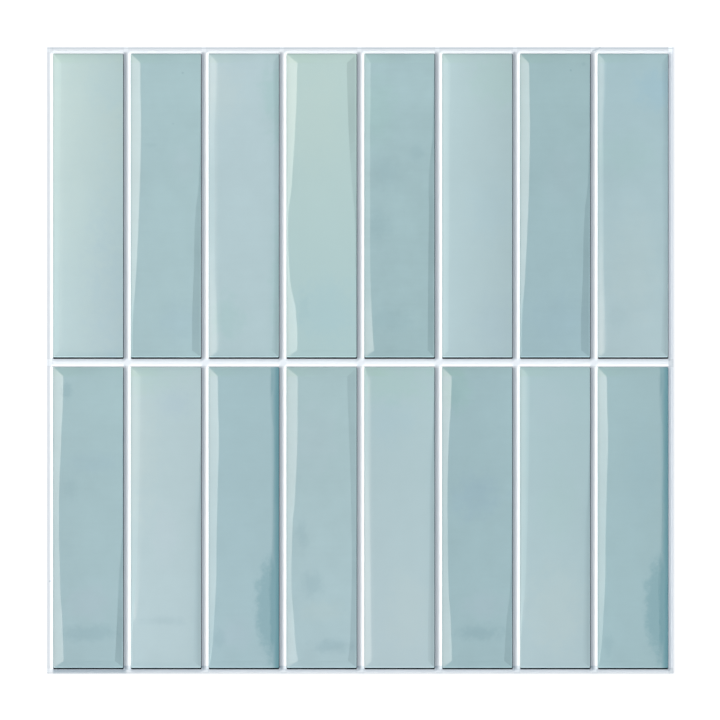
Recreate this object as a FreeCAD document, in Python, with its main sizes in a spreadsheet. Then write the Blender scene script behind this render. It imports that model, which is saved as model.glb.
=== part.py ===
import FreeCAD, Part

# A peel-and-stick backsplash sheet: two rows of eight upright glossy tile faces on one white
# vinyl sheet. The vinyl is pressed with a raised seat for each tile, and each seat's flanks
# fall in a hollow curve to the joint floor, as tooled grout does. A cast resin tile face with
# drafted walls is bonded on each seat, and its four edges are worn down by uneven bevels, so
# that the sheet looks hand made. The back is coated with adhesive under a paper release liner.
#
# The sheet lies on its liner: +Z is out of the face, +Y is up the wall, and the origin is the
# middle of the liner's back. Lengths are millimetres.

import math
import os
import sys

import Sketcher

FOLDER = "parts"

# The driving sizes: alias, value, what it is.
SIZES = [
    ("column_count", 8, "tiles side by side"),
    ("tile_width", 34.45, "across the foot of a tile face"),
    ("upper_length", 148.5, "up the foot of a tile face in the upper row"),
    ("lower_length", 147.05, "up the foot of a tile face in the lower row"),
    ("column_floor", 0.495, "level strip along an upright joint, between its hollow flanks"),
    ("row_floor", 1.05, "level strip along the joint between the two rows"),
    ("left_floor", 1.48, "level strip along the left edge of the sheet"),
    ("right_floor", 1.055, "level strip along the right edge of the sheet"),
    ("head_floor", 1.75, "level strip along the top edge of the sheet"),
    ("heel_floor", 0.65, "level strip along the bottom edge of the sheet"),
    ("liner_thickness", 0.12, "silicone-coated release paper"),
    ("adhesive_thickness", 0.1, "acrylic adhesive coat"),
    ("vinyl_thickness", 0.5, "white vinyl under the joints"),
    ("seat_rise", 0.65, "seat above the joint floor"),
    ("cove_run", 1.45, "hollow flank, from the seat's rim to the joint floor"),
    ("cove_pole", 1.1, "from the seat's rim to where the flank's slope there meets the floor"),
    ("corner_radius", 0.7, "corners of a tile's foot"),
    ("wall_rise", 0.5, "drafted wall of a tile face"),
    ("wall_run", 0.3, "how far that wall leans in at the head and the sides"),
    ("heel_run", 0.85, "how far it leans in at the heel"),
    ("bevel_rise", 0.2, "flat of the tile above its edge"),
    ("head_bevel", 4.3, "bevel along the top edge of a tile"),
    ("heel_bevel", 3.2, "bevel along the bottom edge of a tile"),
    ("flat_corner_radius", 0.3, "corners of the flat of the tile"),
]

# The hand-worn reliefs. Each is the width of the bevel on the left and on the right edge of
# the tile: at the head (top), at the waist (middle) and at the heel (bottom).
EDGE_PLACES = ["left_head", "left_waist", "left_heel", "right_head", "right_waist", "right_heel"]
RELIEFS = {
    "soft": (3.5, 3.0, 2.0, 0.2, 0.2, 0.2),
    "taper": (4.4, 3.5, 0.2, 0.2, 1.2, 3.9),
    "spur": (3.2, 1.5, 4.4, 1.8, 1.4, 3.0),
    "hourglass": (5.2, 0.5, 5.0, 4.4, 1.2, 0.2),
    "toe": (1.2, 0.7, 4.2, 0.2, 1.9, 3.5),
    "waisted": (4.7, 2.6, 5.1, 0.3, 0.6, 2.9),
    "lean": (4.4, 3.1, 0.3, 0.2, 1.2, 3.4),
    "pooled": (4.6, 3.7, 0.9, 5.0, 2.2, 4.6),
    "pinched": (5.6, 2.5, 5.0, 4.0, 1.3, 2.0),
    "even": (1.2, 2.1, 3.4, 0.3, 1.6, 2.6),
    "slim": (4.2, 1.6, 4.6, 0.3, 0.8, 3.4),
}
# The relief of each tile, from the left.
ROWS = {
    "upper": ["soft", "taper", "spur", "hourglass", "toe", "soft", "taper", "spur"],
    "lower": ["waisted", "lean", "pooled", "pinched", "even", "slim", "lean", "pooled"],
}


# Expressions on the sheet of sizes

def size(alias):
    return "<<sizes>>." + alias


FLANKS = f"2 * {size('cove_run')}"
COLUMN_PITCH = f"({size('tile_width')} + {size('column_floor')} + {FLANKS})"
LEFT_MARGIN = f"({size('left_floor')} + {size('cove_run')})"
RIGHT_MARGIN = f"({size('right_floor')} + {size('cove_run')})"
HEAD_MARGIN = f"({size('head_floor')} + {size('cove_run')})"
HEEL_MARGIN = f"({size('heel_floor')} + {size('cove_run')})"
SHEET_WIDTH = (
    f"(({size('column_count')} - 1) * {COLUMN_PITCH} + {size('tile_width')}"
    f" + {LEFT_MARGIN} + {RIGHT_MARGIN})"
)
SHEET_LENGTH = (
    f"({size('upper_length')} + {size('lower_length')} + {size('row_floor')} + {FLANKS}"
    f" + {HEAD_MARGIN} + {HEEL_MARGIN})"
)
FIRST_X = f"(({size('tile_width')} - {SHEET_WIDTH}) / 2 + {LEFT_MARGIN})"
ROW_Y = {
    "upper": f"(({SHEET_LENGTH} - {size('upper_length')}) / 2 - {HEAD_MARGIN})",
    "lower": f"(({size('lower_length')} - {SHEET_LENGTH}) / 2 + {HEEL_MARGIN})",
}

LINER_BACK = "0"
ADHESIVE_BACK = size("liner_thickness")
VINYL_BACK = f"({ADHESIVE_BACK} + {size('adhesive_thickness')})"
SEAT_TOP = f"({VINYL_BACK} + {size('vinyl_thickness')} + {size('seat_rise')})"


def sheet_of_sizes(doc):
    """The spreadsheet: the driving sizes in one column, then one row for each relief."""
    sheet = doc.addObject("Spreadsheet::Sheet", "sizes")
    sheet.Label = "sizes"
    for row, (alias, value, meaning) in enumerate(SIZES, start=1):
        sheet.set(f"A{row}", alias)
        sheet.set(f"B{row}", str(value))
        sheet.set(f"C{row}", meaning)
        sheet.setAlias(f"B{row}", alias)
    for row, (relief, widths) in enumerate(RELIEFS.items(), start=len(SIZES) + 2):
        sheet.set(f"A{row}", relief)
        for column, place, width in zip("BCDEFG", EDGE_PLACES, widths):
            sheet.set(f"{column}{row}", str(width))
            sheet.setAlias(f"{column}{row}", f"{relief}_{place}")
    doc.recompute()
    return sheet


# Bodies and sketches

def new_body(doc, label, height, place_x="0", place_y="0"):
    """A body whose own XY plane lies at that height above the liner's back."""
    body = doc.addObject("PartDesign::Body", label)
    body.Label = label
    body.setExpression("Placement.Base.x", place_x)
    body.setExpression("Placement.Base.y", place_y)
    body.setExpression("Placement.Base.z", height)
    return body


def origin_plane(body, role):
    return next(f for f in body.Origin.OriginFeatures if f.Role == role)


def new_sketch(body, name, level="0", role="XY_Plane"):
    sketch = body.newObject("Sketcher::SketchObject", name)
    sketch.AttachmentSupport = (origin_plane(body, role), [""])
    sketch.MapMode = "FlatFace"
    sketch.setExpression("AttachmentOffset.Base.z", level)
    return sketch


def bind(sketch, name, expression, *constraint):
    """Adds a dimension and ties it to an expression on the sheet of sizes."""
    index = sketch.addConstraint(Sketcher.Constraint(*constraint))
    sketch.renameConstraint(index, name)
    sketch.setExpression(f"Constraints.{name}", expression)


def value_of(sketch, expression):
    return float(sketch.evalExpression(expression))


# The start, end and middle of a line or an arc; the origin and the level line through it; and
# the middle pole of a parabola, counted from the parabola itself.
START, END, CENTRE = range(1, 4)
ORIGIN = (-START, START)
LEVEL_AXIS = -START
MIDDLE_POLE = 2


def from_origin(sketch, name, axis, side, point, expression):
    """Holds a point at that distance from the origin, on the side that the sign says."""
    pair = ORIGIN + point if side > 0 else point + ORIGIN
    start = abs(value_of(sketch, expression))
    bind(sketch, name, expression, f"Distance{axis}", *pair, start)


def rectangle(sketch, width, length):
    """A rectangle about the origin."""
    half_x, half_y = value_of(sketch, width) / 2, value_of(sketch, length) / 2
    turn = [(half_x, half_y), (-half_x, half_y), (-half_x, -half_y), (half_x, -half_y)]
    corners = [FreeCAD.Vector(x, y, 0) for x, y in turn]
    head, left, heel, right = (
        sketch.addGeometry(Part.LineSegment(corners[i - 1], corners[i])) for i in (1, 2, 3, 0)
    )
    for line, following in ((head, left), (left, heel), (heel, right), (right, head)):
        sketch.addConstraint(Sketcher.Constraint("Coincident", line, END, following, START))
    for kind, lines in (("Horizontal", (head, heel)), ("Vertical", (left, right))):
        for line in lines:
            sketch.addConstraint(Sketcher.Constraint(kind, line))
    sketch.addConstraint(Sketcher.Constraint("Symmetric", head, START, heel, START, *ORIGIN))
    bind(sketch, "width", width, "DistanceX", head, END, head, START, 2 * half_x)
    bind(sketch, "length", length, "DistanceY", left, END, left, START, 2 * half_y)


# The corners of an outline, in the order they are drawn: name, side of the origin in x and y.
CORNERS = [
    ("right_head", 1, 1),
    ("left_head", -1, 1),
    ("left_heel", -1, -1),
    ("right_heel", 1, -1),
]
EDGES = ["head", "left", "heel", "right"]


def on_every_corner(expression):
    return {corner: expression for corner, _, _ in CORNERS}


def outline(sketch, across, along, radius, poles=None):
    """A closed outline with four rounded corners about the origin. across and along give each
    corner's distance from the upright and the level middle line. poles, where given, are how
    far out the left and right edges are pulled at mid length, so that they bow."""
    round_radius = value_of(sketch, radius)
    arcs = []
    for turn, (corner, side_x, side_y) in enumerate(CORNERS):
        reach_x, reach_y = f"{across[corner]} - {radius}", f"{along[corner]} - {radius}"
        x, y = side_x * value_of(sketch, reach_x), side_y * value_of(sketch, reach_y)
        circle = Part.Circle(FreeCAD.Vector(x, y, 0), FreeCAD.Vector(0, 0, 1), round_radius)
        arcs.append(Part.ArcOfCircle(circle, turn * math.pi / 2, (turn + 1) * math.pi / 2))
        arc = sketch.addGeometry(arcs[-1])
        start_kind, end_kind = ("Horizontal", "Vertical")[:: 1 if turn % 2 == 0 else -1]
        sketch.addConstraint(Sketcher.Constraint(start_kind, arc, START, arc, CENTRE))
        sketch.addConstraint(Sketcher.Constraint(end_kind, arc, END, arc, CENTRE))
        if turn == 0:
            bind(sketch, "corner_radius", radius, "Radius", arc, round_radius)
        else:
            sketch.addConstraint(Sketcher.Constraint("Equal", 0, arc))
        from_origin(sketch, f"{corner}_x", "X", side_x, (arc, CENTRE), reach_x)
        from_origin(sketch, f"{corner}_y", "Y", side_y, (arc, CENTRE), reach_y)
    for before, name in enumerate(EDGES):
        after = (before + 1) % len(EDGES)
        start, end = arcs[before].EndPoint, arcs[after].StartPoint
        if poles and name in poles:
            edge = bowed_edge(sketch, name, start, end, poles[name])
        else:
            edge = sketch.addGeometry(Part.LineSegment(start, end))
        sketch.addConstraint(Sketcher.Constraint("Coincident", before, END, edge, START))
        sketch.addConstraint(Sketcher.Constraint("Coincident", edge, END, after, START))


def bowed_edge(sketch, name, start, end, pole):
    """A parabola from start to end, pulled at mid length towards a pole at that distance."""
    side = 1 if name == "right" else -1
    middle = FreeCAD.Vector(side * value_of(sketch, pole), 0, 0)
    edge, middle_pole = parabola(sketch, start, middle, end)
    from_origin(sketch, f"{name}_pole", "X", side, middle_pole, pole)
    return edge


def parabola(sketch, start, middle, end):
    """A curve from start to end, with its middle pole on the level line. Returns both."""
    poles = [start, middle, end]
    curve = sketch.addGeometry(Part.BSplineCurve(poles, None, None, False, len(poles) - 1))
    sketch.exposeInternalGeometry(curve)
    middle_pole = (curve + MIDDLE_POLE, CENTRE)
    sketch.addConstraint(Sketcher.Constraint("PointOnObject", *middle_pole, LEVEL_AXIS))
    return curve, middle_pole


# The sub-parts

def flat_layer(doc, label, back, thickness):
    """A layer of the laminate that covers the whole sheet: the liner or the adhesive coat."""
    body = new_body(doc, label, back)
    sketch = new_sketch(body, f"{label}_outline")
    rectangle(sketch, SHEET_WIDTH, SHEET_LENGTH)
    pad = body.newObject("PartDesign::Pad", f"{label}_pad")
    pad.Profile = sketch
    pad.setExpression("Length", size(thickness))
    return body


def half_foot(row):
    """Half the width and half the length of a tile's foot."""
    return f"{size('tile_width')} / 2", f"{size(row + '_length')} / 2"


def foot_outline(sketch, row):
    """The outline that a tile's foot and its seat on the vinyl share."""
    across, along = (on_every_corner(half) for half in half_foot(row))
    outline(sketch, across, along, size("corner_radius"))


def grout_sheet(doc):
    """The white vinyl: a plain sheet with two rows of seats pressed up from it."""
    body = new_body(doc, "grout_sheet", VINYL_BACK)
    sketch = new_sketch(body, "vinyl_outline")
    rectangle(sketch, SHEET_WIDTH, SHEET_LENGTH)
    vinyl = body.newObject("PartDesign::Pad", "vinyl")
    vinyl.Profile = sketch
    vinyl.setExpression("Length", size("vinyl_thickness"))
    for row in ROWS:
        seat_row(doc, body, row)
    return body


def seat_row(doc, body, row):
    """One seat with its hollow flanks, repeated along the row."""
    rim = new_sketch(body, f"{row}_rim", size("vinyl_thickness"))
    rim.setExpression("AttachmentOffset.Base.x", FIRST_X)
    rim.setExpression("AttachmentOffset.Base.y", ROW_Y[row])
    foot_outline(rim, row)
    seat = body.newObject("PartDesign::Pad", f"{row}_seat")
    seat.Profile = rim
    seat.setExpression("Length", size("seat_rise"))

    flank = new_sketch(body, f"{row}_flank", "0", "XZ_Plane")
    flank.setExpression("AttachmentOffset.Base.x", f"{FIRST_X} + {half_foot(row)[0]}")
    flank.setExpression("AttachmentOffset.Base.y", size("vinyl_thickness"))
    flank.setExpression("AttachmentOffset.Base.z", f"-{ROW_Y[row]}")
    flank_section(flank)
    cove = body.newObject("PartDesign::AdditivePipe", f"{row}_cove")
    cove.Profile = flank
    cove.Spine = (rim, [])
    doc.recompute()

    seats = body.newObject("PartDesign::LinearPattern", f"{row}_seats")
    seats.Originals = [seat, cove]
    seats.Direction = (rim, ["H_Axis"])
    seats.setExpression("Length", f"({size('column_count')} - 1) * {COLUMN_PITCH}")
    seats.setExpression("Occurrences", size("column_count"))
    body.Tip = seats


def flank_section(sketch):
    """The hollow flank of a seat in section: up the seat's wall, and down a curve that runs out
    level with the joint floor. The curve's middle pole lies on the floor."""
    rise, run = value_of(sketch, size("seat_rise")), value_of(sketch, size("cove_run"))
    reach = value_of(sketch, size("cove_pole"))
    points = ((0, 0), (0, rise), (reach, 0), (run, 0))
    corner, rim, pole, toe = (FreeCAD.Vector(x, y, 0) for x, y in points)
    wall = sketch.addGeometry(Part.LineSegment(corner, rim))
    floor = sketch.addGeometry(Part.LineSegment(toe, corner))
    curve, middle_pole = parabola(sketch, rim, pole, toe)
    for line, following in ((wall, curve), (curve, floor), (floor, wall)):
        sketch.addConstraint(Sketcher.Constraint("Coincident", line, END, following, START))
    sketch.addConstraint(Sketcher.Constraint("Coincident", wall, START, *ORIGIN))
    sketch.addConstraint(Sketcher.Constraint("Vertical", wall))
    sketch.addConstraint(Sketcher.Constraint("Horizontal", floor))
    bind(sketch, "rise", size("seat_rise"), "DistanceY", wall, START, wall, END, rise)
    bind(sketch, "run", size("cove_run"), "DistanceX", floor, END, floor, START, run)
    from_origin(sketch, "reach", "X", 1, middle_pole, size("cove_pole"))


def tile_face(doc, label, relief, row, column):
    """One cast tile face: foot, edge and flat outlines, joined by straight walls and bevels."""
    body = new_body(doc, label, SEAT_TOP, f"{FIRST_X} + {column} * {COLUMN_PITCH}", ROW_Y[row])
    foot = new_sketch(body, f"{label}_foot")
    foot_outline(foot, row)
    edge = new_sketch(body, f"{label}_edge", size("wall_rise"))
    half_width, half_length = half_foot(row)
    half_edge = f"({half_width} - {size('wall_run')})"
    end_run = {1: size("wall_run"), -1: size("heel_run")}
    along = {corner: f"({half_length} - {end_run[side]})" for corner, _, side in CORNERS}
    edge_radius = f"({size('corner_radius')} - {size('wall_run')})"
    outline(edge, on_every_corner(half_edge), along, edge_radius)

    flat = new_sketch(body, f"{label}_flat", f"{size('wall_rise')} + {size('bevel_rise')}")
    bevel = {place: size(f"{relief}_{place}") for place in EDGE_PLACES}
    across = {corner: f"({half_edge} - {bevel[corner]})" for corner, _, _ in CORNERS}
    end_bevel = {1: size("head_bevel"), -1: size("heel_bevel")}
    along = {corner: f"({along[corner]} - {end_bevel[side]})" for corner, _, side in CORNERS}
    poles = {
        side: f"({half_edge} - 2 * {bevel[side + '_waist']}"
        f" + ({bevel[side + '_head']} + {bevel[side + '_heel']}) / 2)"
        for side in ("left", "right")
    }
    outline(flat, across, along, size("flat_corner_radius"), poles)

    loft = body.newObject("PartDesign::AdditiveLoft", f"{label}_loft")
    loft.Profile = foot
    loft.Sections = [edge, flat]
    loft.Ruled = True
    return body


def build(doc):
    sheet_of_sizes(doc)
    parts = [
        flat_layer(doc, "release_liner", LINER_BACK, "liner_thickness"),
        flat_layer(doc, "adhesive_coat", ADHESIVE_BACK, "adhesive_thickness"),
        grout_sheet(doc),
    ]
    for row, reliefs in ROWS.items():
        for column, relief in enumerate(reliefs):
            label = f"{row}_tile_{column + 1}"
            parts.append(tile_face(doc, label, relief, row, column))
    doc.recompute()
    return parts


def export(doc, parts):
    """Checks every object and writes each sub-part to a STEP file under its own name."""
    for item in doc.Objects:
        if "Invalid" in item.State or "Error" in item.State:
            sys.exit(f"{item.Name}: {item.State}")
    os.makedirs(FOLDER, exist_ok=True)
    for part in parts:
        shape = part.Shape
        if shape.isNull() or not shape.isValid() or len(shape.Solids) != 1:
            sys.exit(f"{part.Label}: not one sound solid")
        shape.exportStep(os.path.join(FOLDER, part.Label + ".step"))
        low, high = shape.BoundBox.ZMin, shape.BoundBox.ZMax
        print(f"{part.Label}: {shape.Volume:.1f} mm3, z {low:.2f} to {high:.2f}")


document = FreeCAD.newDocument("backsplash_tile")
export(document, build(document))
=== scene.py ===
import math

import bpy
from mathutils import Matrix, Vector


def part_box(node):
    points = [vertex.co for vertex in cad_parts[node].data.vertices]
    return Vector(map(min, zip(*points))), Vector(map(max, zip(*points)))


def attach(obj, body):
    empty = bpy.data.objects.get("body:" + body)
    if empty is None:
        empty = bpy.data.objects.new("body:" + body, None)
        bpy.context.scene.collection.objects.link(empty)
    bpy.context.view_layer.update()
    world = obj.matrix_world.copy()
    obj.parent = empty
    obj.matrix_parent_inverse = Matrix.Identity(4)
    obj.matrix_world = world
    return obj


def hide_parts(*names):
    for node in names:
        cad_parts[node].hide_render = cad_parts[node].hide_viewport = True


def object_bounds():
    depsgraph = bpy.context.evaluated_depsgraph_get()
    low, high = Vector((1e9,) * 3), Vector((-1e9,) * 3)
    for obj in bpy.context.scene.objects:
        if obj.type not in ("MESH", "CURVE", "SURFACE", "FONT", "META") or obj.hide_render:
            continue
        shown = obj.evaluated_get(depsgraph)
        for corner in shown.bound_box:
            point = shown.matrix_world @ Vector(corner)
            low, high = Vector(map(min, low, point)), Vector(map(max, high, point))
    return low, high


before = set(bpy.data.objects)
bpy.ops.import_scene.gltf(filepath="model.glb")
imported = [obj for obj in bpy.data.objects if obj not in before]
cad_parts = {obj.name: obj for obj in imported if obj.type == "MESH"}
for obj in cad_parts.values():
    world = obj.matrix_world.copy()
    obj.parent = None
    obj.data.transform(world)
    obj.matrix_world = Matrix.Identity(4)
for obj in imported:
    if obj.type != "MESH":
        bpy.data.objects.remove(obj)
cad_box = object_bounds()
MM = 0.001

# Vinyl sheet: white PVC pressed with sixteen seats, whose hollow flanks fall to the joint
# floors and read as tooled grout. Its white carries painted light on the level joint, the foot,
# the right margin and where the joints run out at the head, and painted shade inside the top and
# left edges, beside the tiles, at the joints' ends, along the foot and at the right edge.
# Handling has left a few specks and a short nick.

VINYL_WHITE = (0.8, 0.8, 0.8)
VINYL_GREY = (0.36, 0.43, 0.47)
GRAIN_MM = 0.35
SHEET_HALF = 152.4
TILE_WIDTH, JOINT_WIDTH, LEFT_MARGIN = 34.45, 3.395, 2.93
COLUMN_PITCH = TILE_WIDTH + JOINT_WIDTH
FIRST_RIGHT_FOOT = LEFT_MARGIN + TILE_WIDTH - SHEET_HALF

# Straight strips, in millimetres: the axis across the strip, its middle, half its width, its
# soft edge, and its strength. The level joint and the foot get a painted highlight. A thin line
# of painted shade lies along the tiles' feet: below both rows, above the lower one and left of
# the first column. A thin line of painted shade runs inside the top edge, and fainter inside the
# left edge.
PAINTED_HIGHLIGHTS = (("y", -1.1, 1.5, 0.3, 0.18), ("y", -150.9, 0.7, 0.3, 0.13))
FOOT_SHADE = (
    ("y", 0.72, 0.1, 0.04, 0.5),
    ("y", -3.1, 0.15, 0.1, 0.42),
    ("y", -150.5, 0.15, 0.15, 0.25),
    ("x", -149.6, 0.15, 0.1, 0.15),
)
EDGE_SHADE_LINES = (
    ("y", SHEET_HALF - 0.75, 0.2, 0.15, 0.42),
    ("x", 0.7 - SHEET_HALF, 0.25, 0.4, 0.16),
)

# Fades over the sheet, in millimetres from its middle: 0 at the first place, 1 at the second.
INSIDE_MARGINS, BETWEEN_ENDS, HEAD_MARGIN = (149.7, 149.3), (150.6, 149.4), (149.4, 150.2)
RIGHT_MARGIN, RIGHT_EDGE = (149.7, 150.1), (151.5, 151.9)
FOOT_MARGIN, FOOT_EDGE = (-149.2, -150.0), (2.2 - SHEET_HALF, 1.6 - SHEET_HALF)
JOINT_ENDS, ABOVE_FOOT_EDGE = (-148.3, -148.9), (-151.0, -150.4)

# The level joint as strips of y: all of it, as it runs into the right margin, and its floor. The
# last strip is the painted shade of the crumpled vinyl's crease at the foot of each upright joint.
LEVEL_JOINT, LEVEL_AT_RIGHT, LEVEL_FLOOR = (-1.3, 2.0, 0.8), (-1.3, 1.6, 0.8), (-1.1, 1.2, 0.6)
CREASE_AT_FOOT = (-149.05, 0.25, 0.3)

# Strips and fades across an upright joint, from the tile on its left.
FLANK, JOINT_FLOOR, BESIDE_TILE = (1.1, 0.7, 0.6), (2.1, 1.2, 0.5), (0.2, 0.4, 0.7)
TOWARDS_TILE, NEXT_TILE = (2.6, 0.4), (2.9, 3.5)

# How much whiter the painted light makes the vinyl there, and how much greyer.
RIGHT_WHITER, FLANK_WHITER, JOINT_GREYER = 0.23, 0.11, 0.15
LEVEL_FLOOR_GREY, CURL_GREY, RIGHT_ENDS_GREY, RIGHT_EDGE_GREY = 0.07, 0.85, 0.17, 0.2

# Painted shadow along the foot of the sheet, under the first tile and, thinner, under the
# second: where it fades in and out along x, and its strength.
FOOT_SHADOW = (
    ((-149.6, -149.2), (-112.5, -114.5), 0.62),
    ((-112.0, -111.0), (-74.0, -80.0), 0.2),
)

# The nick in the top margin: x, y, how steep, half its length, how dark. The specks on the left
# margin: x, y, radius, how dark.
NICK = (114.9, 151.2, 0.42, 1.7, 0.5)
SPECKS = ((-151.0, -107.5, 0.32, 0.55), (-150.9, -31.8, 0.3, 0.12), (-150.3, 10.6, 0.35, 0.1))


class Wire:
    """One output of a node. Sums on it add Math nodes to its tree."""

    def __init__(self, graph, socket):
        self.graph, self.socket = graph, socket

    def __add__(self, other):
        return self.graph.math("ADD", self, other)

    def __sub__(self, other):
        return self.graph.math("SUBTRACT", self, other)

    def __rsub__(self, other):
        return self.graph.math("SUBTRACT", other, self)

    def __mul__(self, other):
        return self.graph.math("MULTIPLY", self, other)

    def __truediv__(self, other):
        return self.graph.math("DIVIDE", self, other)

    __radd__, __rmul__ = __add__, __mul__


class Graph:
    """A node tree of a material, the world or a shape."""

    def __init__(self, tree):
        self.tree = tree
        tree.nodes.clear()

    def add(self, kind, settings=None, sockets=None, out=0):
        """Adds a node: its settings first, then the values or wires of its sockets."""
        node = self.tree.nodes.new(kind)
        for name, value in (settings or {}).items():
            setattr(node, name, value)
        for name, value in (sockets or {}).items():
            if isinstance(value, Wire):
                self.tree.links.new(value.socket, node.inputs[name])
            else:
                node.inputs[name].default_value = value
        return Wire(self, node.outputs[out]) if len(node.outputs) else node

    def math(self, operation, *values):
        return self.add("ShaderNodeMath", {"operation": operation}, dict(enumerate(values)))

    def smooth(self, value, start, end):
        """0 before start, 1 after end, and a smooth rise between them."""
        settings = {"interpolation_type": "SMOOTHSTEP"}
        sockets = {"Value": value, "From Min": start, "From Max": end}
        return self.add("ShaderNodeMapRange", settings, sockets)

    def strip(self, value, middle, half_width, soft):
        """1 within half_width of the middle, and 0 a soft distance beyond that."""
        away = self.math("ABSOLUTE", value - middle)
        return self.smooth(away, half_width + soft, half_width)

    def most(self, *values):
        """The greatest of the values at each point."""
        greatest, *others = values
        for value in others:
            greatest = self.math("MAXIMUM", greatest, value)
        return greatest

    def noise(self, where, scale, detail=2.0, rough=0.5, seed=0.0):
        settings = {"noise_dimensions": "4D"}
        sockets = {"Vector": where, "W": seed, "Scale": scale, "Detail": detail}
        return self.add("ShaderNodeTexNoise", settings, {**sockets, "Roughness": rough})

    def blend(self, share, first, second, how="MIX"):
        """Colours: first where share is 0, second where it is 1."""
        settings = {"data_type": "RGBA", "blend_type": how}
        first, second = (c if isinstance(c, Wire) else (*c, 1.0) for c in (first, second))
        return self.add("ShaderNodeMix", settings, {0: share, 6: first, 7: second}, out=2)

    def scaled(self, colour, factor):
        settings = {"operation": "SCALE"}
        return self.add("ShaderNodeVectorMath", settings, {0: colour, "Scale": factor})

    def object_mm(self):
        """Where a point is on the sheet, in millimetres from its middle."""
        where = self.add("ShaderNodeTexCoord", out=3)
        return self.add("ShaderNodeMapping", {}, {"Vector": where, "Scale": (1 / MM,) * 3})

    def axes(self, where):
        parts = self.add("ShaderNodeSeparateXYZ", {}, {0: where})
        return [Wire(self, socket) for socket in parts.socket.node.outputs]

    def mark(self, name):
        """A number that the mesh carries under that name."""
        return self.add("ShaderNodeAttribute", {"attribute_name": name}, out=2)

    def bump(self, height, distance_mm, strength=1.0):
        sockets = {"Height": height, "Distance": distance_mm * MM, "Strength": strength}
        return self.add("ShaderNodeBump", {}, sockets)

    def surface(self, **sockets):
        """Ends a material in one Principled BSDF. Spaces in socket names are underscores."""
        named = {name.replace("_", " "): value for name, value in sockets.items()}
        shader = self.add("ShaderNodeBsdfPrincipled", {}, named)
        self.add("ShaderNodeOutputMaterial", {}, {"Surface": shader})


def new_material(name):
    material = bpy.data.materials.new(name)
    material.use_nodes = True
    return material, Graph(material.node_tree)


def dress(node, material):
    """Gives a piece that CAD made its finish."""
    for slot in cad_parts[node].material_slots:
        slot.material = material


def strips(g, across, places):
    """The strips of a list, each across the wire named x or y."""
    return [g.strip(across[axis], *place) * strength for axis, *place, strength in places]


vinyl, g = new_material("white_vinyl")
where = g.object_mm()
x, y, _ = g.axes(where)
across = {"x": x, "y": y}
off_x, off_y = g.math("ABSOLUTE", x), g.math("ABSOLUTE", y)
grain = g.noise(where, 1 / GRAIN_MM)
tone = g.noise(where, 0.02)

# How far into an upright joint a point is, and where it leaves the tiles for the margins.
in_joint = g.math("FLOORED_MODULO", x - FIRST_RIGHT_FOOT, COLUMN_PITCH)
inside = g.smooth(off_x, *INSIDE_MARGINS)
at_right = g.smooth(x, *RIGHT_MARGIN)
right_ends = g.most(g.strip(y, *LEVEL_AT_RIGHT), g.smooth(y, *FOOT_MARGIN))

# Painted light: the level joint and the foot, the right margin but not at the level joint and
# the foot, and an upright joint's flank where it runs out at the head are whiter. Painted shade:
# each joint is greyer beside the tile on its left, and a thin line lies along the tiles' feet.
flank = g.strip(in_joint, *FLANK) * g.smooth(y, *HEAD_MARGIN) * FLANK_WHITER
whiter = sum(strips(g, across, PAINTED_HIGHLIGHTS)) * (1.0 - at_right)
whiter = whiter + at_right * (1.0 - right_ends) * RIGHT_WHITER + flank
greyer = g.smooth(in_joint, *TOWARDS_TILE) * (1.0 - g.strip(y, *LEVEL_JOINT)) * JOINT_GREYER
greyer = greyer * inside * g.smooth(off_y, *BETWEEN_ENDS)
feet = sum(strips(g, across, FOOT_SHADE)) * g.smooth(in_joint, *NEXT_TILE)
white = g.scaled(VINYL_WHITE, (1.0 - 0.02 * tone) * (1.0 + whiter) * (1.0 - greyer))
white = g.scaled(white, 1.0 - feet)

# Painted shade: thin lines inside the top and left edges, and a painted shadow along the foot of
# the sheet.
patchiness = 0.6 + 0.8 * g.noise(where, 0.03, detail=1.0, seed=4.0)
edge_shade = g.most(*strips(g, across, EDGE_SHADE_LINES)) * patchiness
low = g.smooth(y, *FOOT_EDGE)
first, second = (
    g.smooth(x, *fade_in) * g.smooth(x, *fade_out) * strength
    for fade_in, fade_out, strength in FOOT_SHADOW
)

# An upright joint ends at the sheet's foot in a grey corner of painted shade, for the crumpled
# vinyl there, with a short dark crease of painted shade beside the tile on its left, and is a
# little grey where it crosses the level joint.
crumple = 0.6 + 0.8 * g.noise(where, 1.3, seed=2.0)
corner = g.smooth(y, *JOINT_ENDS) * (0.15 + 0.4 * g.smooth(y, *ABOVE_FOOT_EDGE)) * crumple
corner = corner + g.strip(y, *LEVEL_FLOOR) * LEVEL_FLOOR_GREY
corner = g.strip(in_joint, *JOINT_FLOOR) * inside * corner
curl = g.strip(in_joint, *BESIDE_TILE) * g.strip(y, *CREASE_AT_FOOT) * inside * CURL_GREY

# The right margin has a line of painted shade at its outer edge, and is greyer at the level
# joint and at the foot.
right_edge = g.smooth(x, *RIGHT_EDGE) * RIGHT_EDGE_GREY
right_edge = g.most(at_right * right_ends * RIGHT_ENDS_GREY, right_edge)

nick_x, nick_y, steep, half_length, darkness = NICK
nick = g.strip(y - steep * x, nick_y - steep * nick_x, 0.3, 0.25)
nick = nick * g.strip(x, nick_x, half_length, 0.7) * darkness
# The painted shade and shadow, the nick and the specks all turn the white towards one grey.
shade_and_marks = g.most(edge_shade, low * (first + second), corner, curl, right_edge, nick)
for speck_x, speck_y, radius, darkness in SPECKS:
    away = g.math("SQRT", (x - speck_x) * (x - speck_x) + (y - speck_y) * (y - speck_y))
    shade_and_marks = g.most(shade_and_marks, g.smooth(away, radius * 2, radius) * darkness)
g.surface(
    Base_Color=g.blend(shade_and_marks, white, VINYL_GREY),
    Roughness=0.2 + 0.06 * grain,
    Specular_IOR_Level=1.0,
    Normal=g.bump(grain, 0.003),
)
dress("grout_sheet", vinyl)


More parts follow.
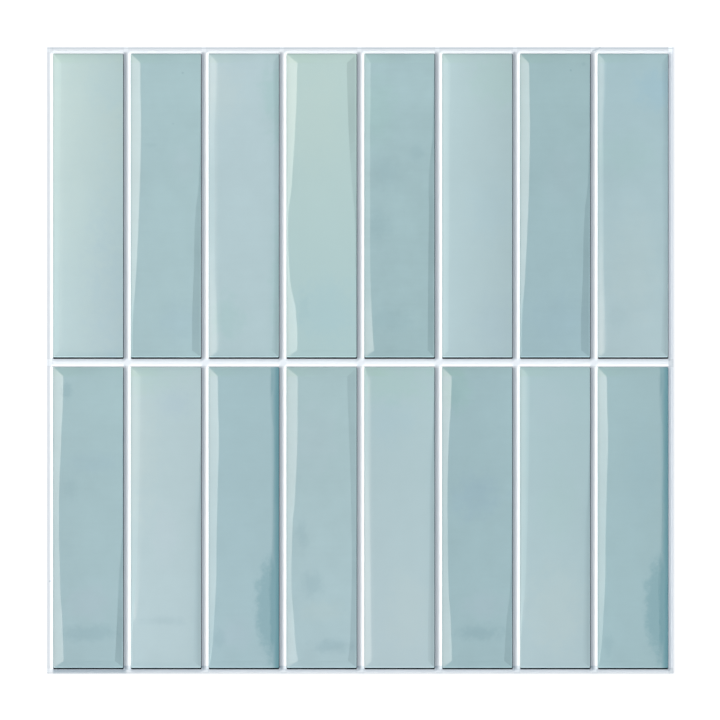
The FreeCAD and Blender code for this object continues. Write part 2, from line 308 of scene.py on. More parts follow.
# Adhesive coat: clear acrylic glue rolled on the back of the vinyl, a tenth of a millimetre
# thick, that shows only as a glassy line along the sheet's edges.

adhesive, g = new_material("adhesive")
where = g.object_mm()
stringy = g.noise(where, 0.8, 3.0)
g.surface(
    Base_Color=g.blend(stringy, (0.66, 0.66, 0.6), (0.72, 0.72, 0.68)),
    Roughness=0.15 + 0.2 * stringy,
    Normal=g.bump(stringy, 0.02),
)
dress("adhesive_coat", adhesive)


# Release liner: glassine paper with a silicone coat, peeled off before the sheet is stuck up.
# It is flat and smooth, with the clouds of short fibres that such paper shows.

liner, g = new_material("liner_paper")
where = g.object_mm()
clouds = g.noise(where, 0.25, 4.0, 0.6)
fibres = g.noise(where, 2.2, 3.0, 0.7, seed=3.0)
g.surface(
    Base_Color=g.blend(clouds, (0.82, 0.8, 0.72), (0.9, 0.88, 0.82)),
    Roughness=0.38 + 0.15 * fibres,
    Normal=g.bump(fibres, 0.01),
)
dress("release_liner", liner)


# Tile faces: clear resin cast over a printed glaze, one on each seat. The wall is drafted, more
# at the heel, and the face is worn down to it by bevels whose width wanders along the left and
# right edges.

ROW_LENGTHS = {"upper": 148.5, "lower": 147.05}
WALL_RUN, HEEL_RUN, WALL_RISE, BEVEL_RISE = 0.3, 0.85, 0.5, 0.2
FOOT_CORNER, FLAT_CORNER = 0.7, 0.3
HEAD_BEVEL, HEEL_BEVEL = 4.3, 3.2
CORNER_STEPS, SIDE_STEPS, END_STEPS = 6, 36, 10

# A long side's points crowd towards its ends. The inner ring is on the flat, at these shares of
# the flat's outline.
CROWDING = 0.6
INNER_ACROSS, INNER_UP = 0.85, 0.95

# The hand-worn reliefs, each at seven places from the head to the heel: the bevel's width on the
# left, how far it shines there, its width on the right, and how much painted shade it takes there.
RELIEFS = {
    "soft": ((3.8, 3.5, 3.3, 3.3, 3.1, 2.9, 2.9), (0.3, 0.24, 0.2, 0.18, 0.16, 0.14, 0.12),
             (0.2, 0.2, 0.2, 0.2, 0.2, 0.2, 0.2), (0.0, 0.0, 0.0, 0.0, 0.0, 0.0, 0.0)),
    "taper": ((4.3, 4.6, 4.4, 3.8, 2.8, 1.2, 0.6), (0.95, 1.0, 1.0, 0.95, 0.8, 0.3, 0.12),
              (0.2, 0.3, 0.6, 2.4, 3.2, 4.1, 4.3), (0.0, 0.0, 0.2, 0.6, 0.9, 1.0, 0.9)),
    "spur": ((4.2, 2.9, 2.7, 2.6, 2.7, 3.8, 4.7), (0.7, 0.45, 0.2, 0.2, 0.5, 0.8, 0.85),
             (2.9, 2.4, 2.7, 2.4, 2.2, 2.6, 3.4), (0.8, 0.7, 0.5, 0.4, 0.6, 1.0, 1.2)),
    "hourglass": ((5.0, 4.4, 3.1, 0.9, 0.8, 3.9, 5.0), (0.8, 0.75, 0.65, 0.4, 0.5, 0.8, 0.7),
                  (4.7, 4.2, 3.0, 1.2, 0.6, 0.3, 0.2), (1.0, 1.1, 0.6, 0.3, 0.1, 0.0, 0.0)),
    "toe": ((2.8, 2.6, 2.5, 2.5, 2.5, 3.2, 4.6), (0.22, 0.2, 0.18, 0.2, 0.22, 0.7, 0.75),
            (0.2, 0.5, 2.2, 2.6, 2.9, 3.1, 3.3), (0.0, 0.1, 0.4, 0.9, 0.9, 1.0, 0.9)),
    "waisted": ((4.8, 4.0, 3.0, 2.7, 3.0, 4.1, 4.9), (1.0, 0.85, 0.75, 0.6, 0.65, 0.75, 0.75),
                (0.2, 0.3, 0.3, 0.4, 1.6, 2.8, 4.0), (0.0, 0.0, 0.0, 0.0, 0.2, 1.0, 1.0)),
    "lean": ((4.5, 4.3, 4.0, 3.5, 2.8, 1.0, 0.5), (0.5, 0.4, 0.33, 0.22, 0.14, 0.1, 0.05),
             (0.2, 0.3, 0.8, 2.3, 2.8, 3.3, 3.7), (0.0, 0.0, 0.2, 0.4, 0.7, 0.9, 0.8)),
    "pooled": ((4.2, 4.7, 4.3, 3.8, 3.6, 2.6, 0.6), (1.0, 0.9, 0.75, 0.65, 0.65, 0.35, 0.1),
               (4.6, 2.6, 2.5, 2.8, 4.4, 4.2, 4.3), (0.2, 0.2, 0.2, 0.2, 0.2, 0.2, 0.2)),
    "pinched": ((5.2, 5.2, 4.5, 2.9, 2.1, 3.2, 5.3), (0.75, 0.75, 0.7, 0.55, 0.35, 0.55, 0.6),
                (4.5, 3.8, 3.0, 2.5, 2.3, 2.7, 4.2), (0.65, 0.7, 0.55, 0.4, 0.6, 0.75, 0.8)),
    "even": ((1.6, 1.7, 1.9, 2.4, 2.8, 3.2, 3.4), (0.2, 0.25, 0.55, 0.7, 0.75, 0.7, 0.65),
             (0.3, 0.8, 2.0, 2.3, 2.6, 3.0, 3.1), (0.0, 0.2, 0.5, 0.8, 1.1, 1.2, 1.2)),
    "slim": ((4.4, 3.3, 2.5, 2.4, 2.6, 3.8, 4.5), (1.0, 0.85, 0.7, 0.55, 0.6, 0.75, 0.8),
             (0.2, 0.2, 0.2, 0.3, 0.5, 2.5, 3.9), (0.0, 0.0, 0.0, 0.0, 0.1, 0.5, 0.9)),
}
NO_BEVEL = (0.0,) * 7
NARROW_BEVEL = 1.2
SOFT_RELIEFS = {"soft": 0.9, "spur": 0.7, "lean": 0.8, "even": 0.6}
ROW_RELIEFS = {
    "upper": ("soft", "taper", "spur", "hourglass", "toe", "soft", "taper", "spur"),
    "lower": ("waisted", "lean", "pooled", "pinched", "even", "slim", "lean", "pooled"),
}

# The bevel's rings, as shares of its width from the edge inwards. Where it is narrow it is
# shallow too, and the wall under it is higher.
BEVEL_RINGS = (0.0, 0.11, 0.22, 0.35, 0.5, 0.66, 0.83, 1.0)

# Painted shade on each side's wall, on the lip on its edge, and on its bevel: in the line beside
# the lip, from there on, and at the flat; below 0 it is painted light. The right and heel walls
# and the right bevels carry the most painted shade, the heel's lip is a painted highlight, and
# the upper row has the darker painted lip at its head. The last column's right walls read paler.
WALL_SHADE = {"right": 1.0, "head": 0.5, "left": 0.45, "heel": 1.0}
PALER_RIGHT_WALLS = {"upper_tile_8": 0.85, "lower_tile_8": 0.3}
LIP_SHADES = {"right": 0.02, "left": 0.12, "heel": -0.5}
HEAD_LIPS = {"upper": 0.18, "lower": 0.06}
BEVEL_SHADES = {
    "right": (0.1, 0.14, 0.13),
    "head": (0.06, 0.05, 0.0),
    "left": (0.05, 0.02, -0.03),
    "heel": (0.03, -0.03, 0.0),
}


def along(values, share):
    """A value between its places along the tile: share is 1 at the head and -1 at the heel."""
    place = (1 - share) / 2 * (len(values) - 1)
    index = min(int(place), len(values) - 2)
    t = place - index
    before, start, end, after = (
        values[min(max(i, 0), len(values) - 1)] for i in range(index - 1, index + 3)
    )
    bend = (2 * before - 5 * start + 4 * end - after) * t + 3 * (start - end) + after - before
    return start + t / 2 * (end - before + t * bend)


def side_shares():
    """Where an outline has points along a long side, from heel to head, closer at the ends."""
    even = [-1 + 2 * i / SIDE_STEPS for i in range(1, SIDE_STEPS)]
    return [math.sin(s * math.pi / 2) * CROWDING + s * (1 - CROWDING) for s in even]


def tile_loop(length, run, heel_run, radius, relief=None):
    """One outline of a tile, from the right edge's heel end anticlockwise, and the side of the
    tile that each point is on. With a relief it is the outline of the face's flat."""
    half_width, head, heel = TILE_WIDTH / 2 - run, length / 2 - run, length / 2 - heel_run
    if relief:
        head, heel = head - HEAD_BEVEL, heel - HEEL_BEVEL
    left, _, right, _ = relief or (NO_BEVEL,) * 4
    points, sides = [], []

    def corner(side_x, side_y, first_turn, before, after):
        reach = half_width - along(right if side_x > 0 else left, side_y)
        x, y = side_x * (reach - radius), side_y * ((head if side_y > 0 else heel) - radius)
        for i in range(CORNER_STEPS + 1):
            turn = math.pi / 2 * (first_turn + i / CORNER_STEPS)
            points.append((x + radius * math.cos(turn), y + radius * math.sin(turn)))
            sides.append(before if i < CORNER_STEPS / 2 else after)

    def long_side(side, widths, shares, name):
        top, bottom = head - radius, radius - heel
        for share in shares:
            y = (top + bottom) / 2 + (top - bottom) / 2 * share
            points.append((side * (half_width - along(widths, share)), y))
            sides.append(name)

    def short_side(side_x, side_y, name):
        start_x, level = points[-1]
        far_reach = half_width - along(right if side_x < 0 else left, side_y)
        end_x = -side_x * (far_reach - radius)
        for i in range(1, END_STEPS):
            points.append((start_x + (end_x - start_x) * i / END_STEPS, level))
            sides.append(name)

    shares = side_shares()
    long_side(1, right, shares, "right")
    corner(1, 1, 0, "right", "head")
    short_side(1, 1, "head")
    corner(-1, 1, 1, "head", "left")
    long_side(-1, left, shares[::-1], "left")
    corner(-1, -1, 2, "left", "heel")
    short_side(-1, -1, "heel")
    corner(1, -1, 3, "heel", "right")
    return points, sides


def between(first, second, share):
    return [tuple(a + (b - a) * share for a, b in zip(p, q)) for p, q in zip(first, second)]


def ring_shades(row, side, ring):
    """The painted shade of a side's bevel at the outer and the inner line of one of its rings."""
    line, slope, flat = BEVEL_SHADES[side]
    if ring == 0:
        lip = HEAD_LIPS[row] if side == "head" else LIP_SHADES[side]
        return lip, lip
    if ring == 1:
        return line, line
    start = BEVEL_RINGS[2]
    shares = ((share - start) / (1 - start) for share in BEVEL_RINGS[ring:ring + 2])
    return tuple(slope + (flat - slope) * share for share in shares)


def face_shades(row, relief, side, ring, share):
    """The painted shade of a face of the bevel at its outer and its inner line, and how far it
    shines. share is 1 at the head and -1 at the heel."""
    _, shine, _, depth = RELIEFS[relief]
    outer, inner = ring_shades(row, side, ring)
    if side == "right":
        outer, inner = outer * along(depth, share), inner * along(depth, share)
    return outer, inner, along(shine, share) if side == "left" else 1.0


def bevel_widths(edge, flat, sides):
    """At each point, the bevel's width, and the share of its rise that the wall takes over:
    more where the bevel is narrow, and none at the head and the heel."""
    head, heel = max(y for _, y in edge), min(y for _, y in edge)
    widths, lifts = [], []
    for (x, y), (flat_x, _), side in zip(edge, flat, sides):
        width = abs(x - flat_x) if side in ("left", "right") else HEAD_BEVEL
        from_end = min(1, (head - y) / HEAD_BEVEL, (y - heel) / HEEL_BEVEL)
        widths.append(width)
        lifts.append(max(0, 1 - width / NARROW_BEVEL) * from_end)
    return widths, lifts


def tile_lattice(name, row, relief, middle):
    """A tile as rings of points: up the wall, up the bevel, and a little way in on the flat.
    Points carry how far up the wall and the bevel they are, and the wall's painted shade; faces,
    their painted shade."""
    length = ROW_LENGTHS[row]
    foot, sides = tile_loop(length, 0, 0, FOOT_CORNER)
    edge, _ = tile_loop(length, WALL_RUN, HEEL_RUN, FOOT_CORNER - WALL_RUN)
    flat, _ = tile_loop(length, WALL_RUN, HEEL_RUN, FLAT_CORNER, RELIEFS[relief])
    inner = [(x * INNER_ACROSS, y * INNER_UP) for x, y in flat]
    widths, lifts = bevel_widths(edge, flat, sides)
    rings = [(foot, 0, None)]
    rings += [(between(edge, flat, share), 1, share) for share in BEVEL_RINGS]
    rings.append((inner, 1, 1))
    points, walls, bevels = [], [], []
    for ring, up_wall, share in rings:
        points += [(middle[0] + x, middle[1] + y, 0) for x, y in ring]
        walls += [float(up_wall)] * len(ring)
        bevels += [0.0 if share is None else float(lift + (1 - lift) * share) for lift in lifts]

    count, top = len(foot), len(rings) - 1
    faces = [tuple(reversed(range(count))), tuple(range(top * count, (top + 1) * count))]
    shades, shines = [0.0] * (2 * count), [1.0] * (2 * count)
    flat_top = max(y for _, y in flat)
    for ring in range(top):
        on_bevel = 0 < ring < top - 1
        for i, side in enumerate(sides):
            a, b = ring * count + i, ring * count + (i + 1) % count
            faces.append((a, b, b + count, a + count))
            outer_shade, inner_shade, shine = 0.0, 0.0, 1.0
            if on_bevel:
                up = flat[i][1] / flat_top
                outer_shade, inner_shade, shine = face_shades(row, relief, side, ring - 1, up)
            shades += [outer_shade] * 2 + [inner_shade] * 2
            shines += [shine] * 4

    mesh = bpy.data.meshes.new(name)
    mesh.from_pydata([tuple(c * MM for c in p) for p in points], [], faces)
    wall_shade = {**WALL_SHADE, "right": PALER_RIGHT_WALLS.get(name, WALL_SHADE["right"])}
    layers = (
        ("wall", "POINT", walls),
        ("bevel", "POINT", bevels),
        ("shade", "CORNER", shades),
        ("shine", "CORNER", shines),
        ("wall_shade", "POINT", [wall_shade[side] for side in sides] * len(rings)),
    )
    for layer, domain, values in layers:
        mesh.attributes.new(layer, "FLOAT", domain).data.foreach_set("value", values)
    uv = mesh.uv_layers.new(name="face")
    for loop in mesh.loops:
        x, y, _ = points[loop.vertex_index]
        across, up = (x - middle[0]) / TILE_WIDTH, (y - middle[1]) / length
        uv.data[loop.index].uv = (across + 0.5, up + 0.5)

    # Sharp lines: the tile's foot, its edge, and the ridge of a crisp or a narrow bevel.
    ridge = len(BEVEL_RINGS)
    sharp = mesh.attributes.new("sharp_edge", "BOOLEAN", "EDGE")
    for line in mesh.edges:
        a, b = line.vertices
        ring = a // count
        crisp = relief not in SOFT_RELIEFS or widths[a % count] < NARROW_BEVEL
        if ring == b // count and (ring < 2 or (ring == ridge and crisp)):
            sharp.data[line.index].value = True
    return mesh


def resin_relief():
    """The tree that gives a flat tile lattice its height: the wall, and a bevel that is straight
    where Softness is 0 and rounds over into the flat where it is 1."""
    tree = bpy.data.node_groups.new("resin_relief", "GeometryNodeTree")
    graph = Graph(tree)
    sockets = (
        ("Geometry", "NodeSocketGeometry", None),
        ("Seat Height", "NodeSocketFloat", 0.0),
        ("Wall Rise", "NodeSocketFloat", WALL_RISE * MM),
        ("Bevel Rise", "NodeSocketFloat", BEVEL_RISE * MM),
        ("Softness", "NodeSocketFloat", 0.0),
        ("Material", "NodeSocketMaterial", None),
    )
    for name, kind, value in sockets:
        socket = tree.interface.new_socket(name, in_out="INPUT", socket_type=kind)
        if value is not None:
            socket.default_value = value
    tree.interface.new_socket("Geometry", in_out="OUTPUT", socket_type="NodeSocketGeometry")
    inputs = graph.add("NodeGroupInput").socket.node.outputs
    given = {name: Wire(graph, inputs[name]) for name, _, _ in sockets}

    def mark(name):
        return graph.add("GeometryNodeInputNamedAttribute", {"data_type": "FLOAT"}, {"Name": name})

    wall, bevel = mark("wall"), mark("bevel")
    rounded = graph.math("SINE", bevel * (math.pi / 2))
    shoulder = bevel + given["Softness"] * (rounded - bevel)
    height = given["Seat Height"] + given["Wall Rise"] * wall + given["Bevel Rise"] * shoulder
    lift = graph.add("ShaderNodeCombineXYZ", {}, {"Z": height})
    moved = graph.add(
        "GeometryNodeSetPosition", {}, {"Geometry": given["Geometry"], "Offset": lift}
    )
    real = graph.add("GeometryNodeRealizeInstances", {}, {"Geometry": moved})
    finished = graph.add(
        "GeometryNodeSetMaterial", {}, {"Geometry": real, "Material": given["Material"]}
    )
    graph.add("NodeGroupOutput", {}, {"Geometry": finished})
    return tree


def shaped(mesh, tree, values):
    """The mesh that a tree makes of a base mesh, with its inputs set."""
    base = bpy.data.objects.new(mesh.name + "_base", mesh)
    bpy.context.scene.collection.objects.link(base)
    modifier = base.modifiers.new("shape", "NODES")
    modifier.node_group = tree
    for item in tree.interface.items_tree:
        if item.in_out == "INPUT" and item.name in values:
            modifier[item.identifier] = values[item.name]
    bpy.context.view_layer.update()
    evaluated = base.evaluated_get(bpy.context.evaluated_depsgraph_get())
    result = bpy.data.meshes.new_from_object(evaluated)
    base.modifiers.remove(modifier)
    bpy.data.objects.remove(base)
    return result


# The glazes, from the left: the record's finish, the colour at the head and at the heel, and
# how much lighter the right edge is than the middle.
GLAZES = {
    "upper": (
        ("seafoam", (0.535, 0.650, 0.600), (0.492, 0.611, 0.596), -0.08),
        ("deep_aqua", (0.427, 0.562, 0.550), (0.432, 0.564, 0.558), 0.009),
        ("pale_aqua", (0.505, 0.616, 0.612), (0.468, 0.588, 0.583), -0.002),
        ("seafoam", (0.542, 0.663, 0.597), (0.466, 0.605, 0.578), 0.004),
        ("deep_aqua", (0.422, 0.556, 0.546), (0.385, 0.515, 0.508), -0.004),
        ("pale_aqua", (0.489, 0.605, 0.589), (0.475, 0.588, 0.582), -0.086),
        ("deep_aqua", (0.383, 0.514, 0.503), (0.389, 0.520, 0.527), 0.0),
        ("aqua", (0.416, 0.551, 0.555), (0.475, 0.583, 0.578), 0.015),
    ),
    "lower": (
        ("deep_aqua", (0.411, 0.545, 0.537), (0.408, 0.533, 0.536), 0.023),
        ("pale_aqua", (0.495, 0.605, 0.593), (0.504, 0.615, 0.614), -0.03),
        ("deep_aqua", (0.402, 0.536, 0.536), (0.418, 0.546, 0.554), -0.01),
        ("aqua", (0.430, 0.556, 0.542), (0.451, 0.570, 0.572), 0.01),
        ("pale_aqua", (0.461, 0.581, 0.570), (0.500, 0.598, 0.596), 0.017),
        ("deep_aqua", (0.384, 0.513, 0.513), (0.387, 0.514, 0.515), 0.015),
        ("aqua", (0.432, 0.566, 0.557), (0.484, 0.591, 0.589), -0.023),
        ("deep_aqua", (0.394, 0.526, 0.521), (0.395, 0.528, 0.528), -0.026),
    ),
}

# What wanders in each print: how strong its clouds are, and its blots, each with its tint, its
# place across and up the tile, its half width and half length, and its strength.
TINTS = {
    "cloud": (0.74, 0.8, 0.83),
    "lilac": (1.04, 0.995, 1.015),
    "indigo": (0.89, 0.905, 0.975),
    "green": (0.955, 1.0, 0.955),
    "teal": (0.86, 0.95, 0.91),
    "blue": (0.92, 0.965, 1.01),
    "warm": (1.05, 1.015, 0.99),
}
PRINTS = {
    "upper": (
        (0.05, (("warm", 0.15, 0.65, 0.4, 0.4, 0.5), ("indigo", 0.85, 0.2, 0.6, 0.3, 0.35),
                ("blue", 0.85, 0.9, 0.4, 0.15, 0.6), ("blue", 0.95, 0.42, 0.5, 0.4, 0.5))),
        (0.1, (("cloud", 0.28, 0.7, 0.14, 0.012, 0.2), ("lilac", 0.75, 0.64, 0.2, 0.07, 0.6),
               ("indigo", 0.65, 0.12, 0.4, 0.09, 0.35), ("cloud", 0.735, 0.936, 0.02, 0.005, 0.7),
               ("cloud", 0.6, 0.77, 0.02, 0.004, 0.5))),
        (0.07, (("teal", 1.0, 0.85, 0.3, 0.2, 0.8), ("teal", 1.0, 0.25, 0.16, 0.3, 0.6),
                ("teal", 0.27, 0.13, 0.3, 0.1, 0.55), ("warm", 0.2, 0.88, 0.3, 0.12, 0.7))),
        (0.03, (("warm", 0.4, 0.75, 0.5, 0.2, 0.35), ("blue", 0.55, 0.16, 0.6, 0.13, 0.6),
                ("cloud", 0.25, 0.17, 0.1, 0.06, 0.15))),
        (0.15, (("green", 0.2, 0.8, 0.3, 0.15, 0.7), ("cloud", 0.3, 0.61, 0.35, 0.07, 0.24),
                ("cloud", 0.2, 0.43, 0.22, 0.07, 0.28), ("cloud", 0.75, 0.67, 0.15, 0.04, 0.28),
                ("cloud", 0.35, 0.13, 0.35, 0.05, 0.26))),
        (0.06, (("green", 0.8, 0.92, 0.5, 0.12, 0.8), ("blue", 0.7, 0.5, 0.4, 0.15, 0.35),
                ("indigo", 0.75, 0.12, 0.4, 0.12, 0.3))),
        (0.1, (("lilac", 0.6, 0.6, 0.3, 0.12, 0.5), ("indigo", 0.55, 0.13, 0.5, 0.12, 0.3),
               ("cloud", 0.72, 0.945, 0.02, 0.005, 0.8), ("cloud", 0.9, 0.965, 0.05, 0.01, 0.3))),
        (0.08, (("blue", 0.85, 0.88, 0.35, 0.09, 0.9), ("green", 0.4, 0.66, 0.6, 0.1, 0.6),
                ("warm", 0.5, 0.32, 0.5, 0.22, 0.6), ("cloud", 0.3, 0.14, 0.2, 0.06, 0.2))),
    ),
    "lower": (
        (0.1, (("cloud", 0.2, 0.92, 0.09, 0.035, 0.5), ("cloud", 0.25, 0.6, 0.22, 0.05, 0.25),
               ("indigo", 0.6, 0.68, 0.5, 0.05, 0.35), ("lilac", 0.5, 0.22, 0.4, 0.07, 0.9),
               ("cloud", 0.5, 0.12, 0.5, 0.035, 0.5))),
        (0.06, (("green", 0.2, 0.96, 0.7, 0.06, 0.8), ("indigo", 0.62, 0.88, 0.3, 0.06, 0.4),
                ("warm", 0.1, 0.72, 0.4, 0.3, 0.7), ("lilac", 0.5, 0.45, 0.25, 0.13, 0.5),
                ("cloud", 0.45, 0.16, 0.35, 0.02, 0.3))),
        (0.08, (("cloud", 0.15, 0.1, 0.1, 0.04, 0.3), ("lilac", 0.4, 0.12, 0.25, 0.07, 0.7))),
        (0.1, (("cloud", 0.22, 0.44, 0.12, 0.07, 0.35), ("cloud", 0.35, 0.28, 0.17, 0.05, 0.4),
               ("cloud", 0.65, 0.075, 0.35, 0.03, 0.5), ("lilac", 0.4, 0.75, 0.4, 0.15, 0.5),
               ("warm", 0.5, 0.19, 0.4, 0.04, 0.7))),
        (0.04, (("green", 0.4, 0.95, 0.7, 0.08, 1.0), ("blue", 0.35, 0.82, 0.4, 0.1, 0.4),
                ("warm", 0.65, 0.18, 0.4, 0.16, 0.5))),
        (0.1, (("green", 0.2, 0.92, 0.25, 0.08, 1.2), ("cloud", 0.17, 0.9, 0.12, 0.05, 0.2),
               ("indigo", 0.5, 0.58, 0.45, 0.1, 0.6),
               ("lilac", 0.6, 0.21, 0.35, 0.05, 0.9), ("cloud", 0.55, 0.12, 0.4, 0.035, 0.5))),
        (0.05, (("lilac", 0.4, 0.88, 0.4, 0.12, 0.5), ("green", 0.55, 0.55, 0.4, 0.15, 0.4),
                ("warm", 0.5, 0.2, 0.5, 0.18, 0.8))),
        (0.08, (("blue", 0.65, 0.65, 0.4, 0.2, 0.3), ("cloud", 0.15, 0.08, 0.1, 0.04, 0.3))),
    ),
}
DEEP_TEAL = (0.15, 0.32, 0.345)
HEAD_TINT = (0.965, 0.99, 0.93)
WALL_SHADE_COLOUR = (0.004, 0.006, 0.008)
PRINT_LENGTH = ROW_LENGTHS["upper"]

# Pooled glaze: its fades, in millimetres in from the right edge, the place of its patch on the
# face, as a blot has it, and how deep each part and the whole reads.
POOL_RIM, POOL_TOE, POOL_CORNER = (4.8, 0.3), (6.4, 3.4), (4.6, 3.6)
POOL_PATCH = (1.0, 0.2, 0.34, 0.2)
TOE_DEPTH, PATCH_DEPTH, CORNER_DEPTH, POOL_DEPTH = 0.68, 0.46, 0.5, 0.95


def blot(g, across, up, noise, place, core=0.2, ragged=3.2):
    """A patch in a print: 1 out to its core, and the more ragged its edge is, the more the
    noise moves it."""
    at_x, at_y, half_x, half_y = place
    dx, dy = (across - at_x) / half_x, (up - at_y) / half_y
    away = g.math("SQRT", dx * dx + dy * dy)
    return g.smooth(away + (noise - 0.5) * ragged, 1.15, core)


def pooled(g, colour, across, up, clouds, mottled):
    """Glaze that ran to the right edge and stands deep there: in a rim all along it, in a toe
    and a ragged patch low down, and in a corner at the head."""
    inward = (1.0 - across) * TILE_WIDTH + (clouds - 0.5) * 2.0
    wavy = inward + (mottled - 0.5) * 5.0
    rim = g.smooth(inward, *POOL_RIM)
    toe = g.smooth(wavy, *POOL_TOE) * g.smooth(up, 0.42, 0.32) * g.smooth(up, 0.03, 0.1)
    patch = blot(g, across, up, mottled, POOL_PATCH, core=0.7, ragged=1.6)
    corner = g.smooth(inward, *POOL_CORNER) * g.smooth(up, 0.88, 0.93)
    deep = g.most(rim, toe * TOE_DEPTH, patch * PATCH_DEPTH, corner * CORNER_DEPTH)
    return g.blend(deep * POOL_DEPTH, colour, DEEP_TEAL)


def glaze_material(name, glaze, relief, print_marks, seed):
    """One tile's print under its resin, on the face's own map."""
    _, head, heel, lean = glaze
    cloudy, blots = print_marks
    material, g = new_material(name)
    uv = g.add("ShaderNodeUVMap", {"uv_map": "face"})
    where = g.add("ShaderNodeMapping", {}, {"Vector": uv, "Scale": (TILE_WIDTH, PRINT_LENGTH, 1)})
    across, up, _ = g.axes(uv)
    clouds = g.noise(where, 0.05, 4.0, 0.55, seed)
    mottled = clouds * 0.45 + g.noise(where, 0.25, 4.0, 0.65, seed + 9.0) * 0.55
    streaks = g.add("ShaderNodeMapping", {}, {"Vector": where, "Scale": (0.12, 1, 1)})
    streaks = g.noise(streaks, 0.5, 3.0, 0.6, seed + 5.0)
    tone = 1.0 + (across - 0.5) * 2 * lean + (0.5 - clouds) * 2 * cloudy
    tone = tone + (0.5 - streaks) * cloudy * 0.5
    colour = g.blend(up, heel, head)
    for tint, *place, strength in blots:
        share = blot(g, across, up, mottled, place) * strength
        colour = g.blend(share, colour, TINTS[tint], "MULTIPLY")

    softness = SOFT_RELIEFS.get(relief, 0.0)
    # Painted shade on the bevels, or painted light where it is below 0, softened into the flat on
    # soft reliefs.
    painted_bevel_shade = g.mark("shade") * (1.0 - softness * g.smooth(g.mark("bevel"), 0.0, 1.0))
    colour = g.scaled(colour, tone * (1.0 - painted_bevel_shade))
    head_end = g.smooth(up, 0.964, 0.974) * (1.3 * clouds)
    head_end = head_end * (0.3 + g.smooth(across, 0.5, 0.1))
    colour = g.blend(head_end, colour, HEAD_TINT, "MULTIPLY")
    if relief == "pooled":
        colour = pooled(g, colour, across, up, clouds, mottled)
    # Painted shade: each wall turns near black by its wall_shade, for the shade on the tiles'
    # sides.
    wall = g.smooth(g.mark("wall"), 0.85, 0.75) * g.mark("wall_shade")
    g.surface(
        Base_Color=g.blend(wall, colour, WALL_SHADE_COLOUR),
        Roughness=0.34 + 0.5 * wall,
        Specular_IOR_Level=0.25,
        Coat_Weight=(1.0 - wall) * g.mark("shine"),
        Coat_Roughness=0.07 + 0.06 * softness,
        Coat_IOR=1.65,
    )
    return material


relief_tree = resin_relief()
for row, reliefs in ROW_RELIEFS.items():
    for column, relief in enumerate(reliefs, start=1):
        node, name = f"{row}_tile_{column}", f"glaze_{row}_{column}"
        glaze, print_marks = GLAZES[row][column - 1], PRINTS[row][column - 1]
        low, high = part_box(node)
        lattice = tile_lattice(node, row, relief, (low + high) / 2 / MM)
        seed = float(list(RELIEFS).index(relief))
        values = {
            "Seat Height": low.z,
            "Softness": SOFT_RELIEFS.get(relief, 0.0),
            "Material": glaze_material(name, glaze, relief, print_marks, seed),
        }
        mesh = shaped(lattice, relief_tree, values)
        face = bpy.data.objects.new(f"{row}_face_{column}", mesh)
        bpy.context.scene.collection.objects.link(face)
        mesh.shade_smooth()
        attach(face, "root")
        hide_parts(node)


# Stage: a pale floor that keeps the sheet's shadow, a soft key lamp low on the left, a softbox
# beside the camera that the left bevels mirror, a low lamp above the sheet's head, and an even
# bluish fill.

bpy.context.scene.view_settings.view_transform = "Standard"

FLOOR_REACH, UNDER_SHEET = 4.0, 0.02
FLOOR_GREY, FLOOR_GLOW = (0.35, 0.35, 0.35, 1), 0.75
FILL, FILL_STRENGTH = (0.49, 1.0, 1.5, 1), 0.16
floor_mesh = bpy.data.meshes.new("floor")
turn = ((-1, -1), (1, -1), (1, 1), (-1, 1))
corners = [(x * FLOOR_REACH, y * FLOOR_REACH, -UNDER_SHEET * MM) for x, y in turn]
floor_mesh.from_pydata(corners, [], [(0, 1, 2, 3)])
floor = bpy.data.objects.new("floor", floor_mesh)
bpy.context.scene.collection.objects.link(floor)
floor_material, g = new_material("floor")
matt = g.add("ShaderNodeBsdfDiffuse", {}, {"Color": FLOOR_GREY})
glow = g.add("ShaderNodeEmission", {}, {"Strength": FLOOR_GLOW})
bright = g.add("ShaderNodeAddShader", {}, {0: matt, 1: glow})
path = g.add("ShaderNodeLightPath")
seen = path.socket.node.outputs
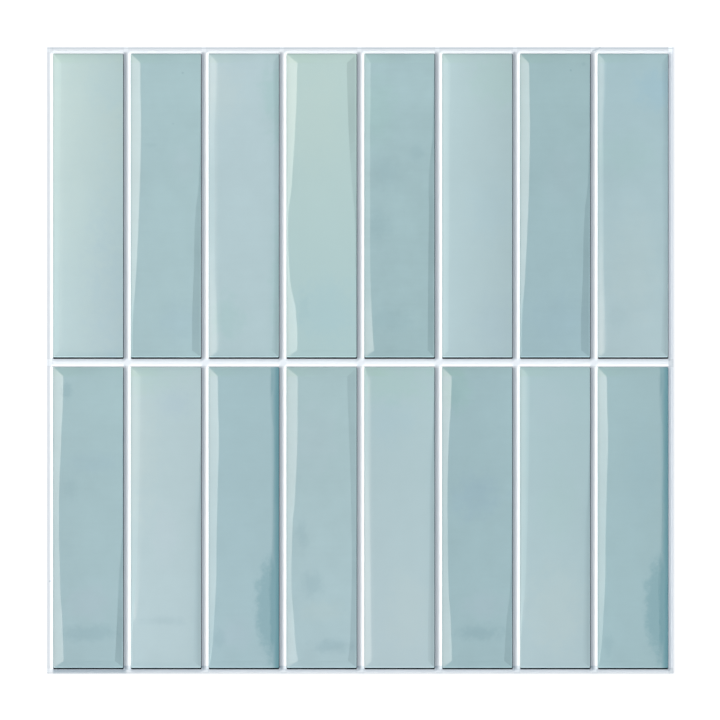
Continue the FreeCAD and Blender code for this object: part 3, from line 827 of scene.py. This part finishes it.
straight = g.most(Wire(g, seen["Is Camera Ray"]), Wire(g, seen["Is Glossy Ray"]))
either = g.add("ShaderNodeMixShader", {}, {0: straight, 1: matt, 2: bright})
g.add("ShaderNodeOutputMaterial", {}, {"Surface": either})
floor_mesh.materials.append(floor_material)


def sun(name, off_vertical, bearing, strength, colour, width):
    """A far lamp. off_vertical and width are in degrees; bearing is from +X to +Y."""
    data = bpy.data.lights.new(name, "SUN")
    data.energy, data.color, data.angle = strength * math.pi, colour, math.radians(width)
    lamp = bpy.data.objects.new(name, data)
    bpy.context.scene.collection.objects.link(lamp)
    lamp.rotation_euler = (0, math.radians(off_vertical), math.radians(bearing))


sun("key", 58, 178, 0.84, (0.995, 1.01, 1.0), 58)
sun("softbox", 14, 180, 0.11, (1.07, 0.9, 0.8), 22.6)
sun("head_lamp", 45, 90, 0.42, (1.0, 1.0, 1.0), 50)

world = bpy.data.worlds.new("studio")
bpy.context.scene.world = world
world.use_nodes = True
g = Graph(world.node_tree)
fill = g.add("ShaderNodeBackground", {}, {"Color": FILL, "Strength": FILL_STRENGTH})
white_room = g.add("ShaderNodeBackground", {}, {"Color": (1, 1, 1, 1), "Strength": 1.0})
path = g.add("ShaderNodeLightPath")
seen = path.socket.node.outputs
room = g.add("ShaderNodeMixShader", {}, {0: Wire(g, seen["Is Camera Ray"]), 1: fill, 2: white_room})
g.add("ShaderNodeOutputWorld", {}, {"Surface": room})


# Camera: far and straight above, with a long lens, as in the photograph.

PHOTO_WIDTH, SHEET_IN_PHOTO = 720, 626.5
DISTANCE, OFF_CENTRE = 5.0, 0.12
camera_data = bpy.data.cameras.new("camera")
sheet_width = cad_box[1][0] - cad_box[0][0]
field = sheet_width * PHOTO_WIDTH / SHEET_IN_PHOTO
camera_data.sensor_width = 36.0
camera_data.lens = camera_data.sensor_width * DISTANCE / field
camera_data.clip_end = 100.0
camera = bpy.data.objects.new("camera", camera_data)
bpy.context.scene.collection.objects.link(camera)
camera.location = (-OFF_CENTRE * MM, OFF_CENTRE * MM, DISTANCE)
bpy.context.scene.camera = camera
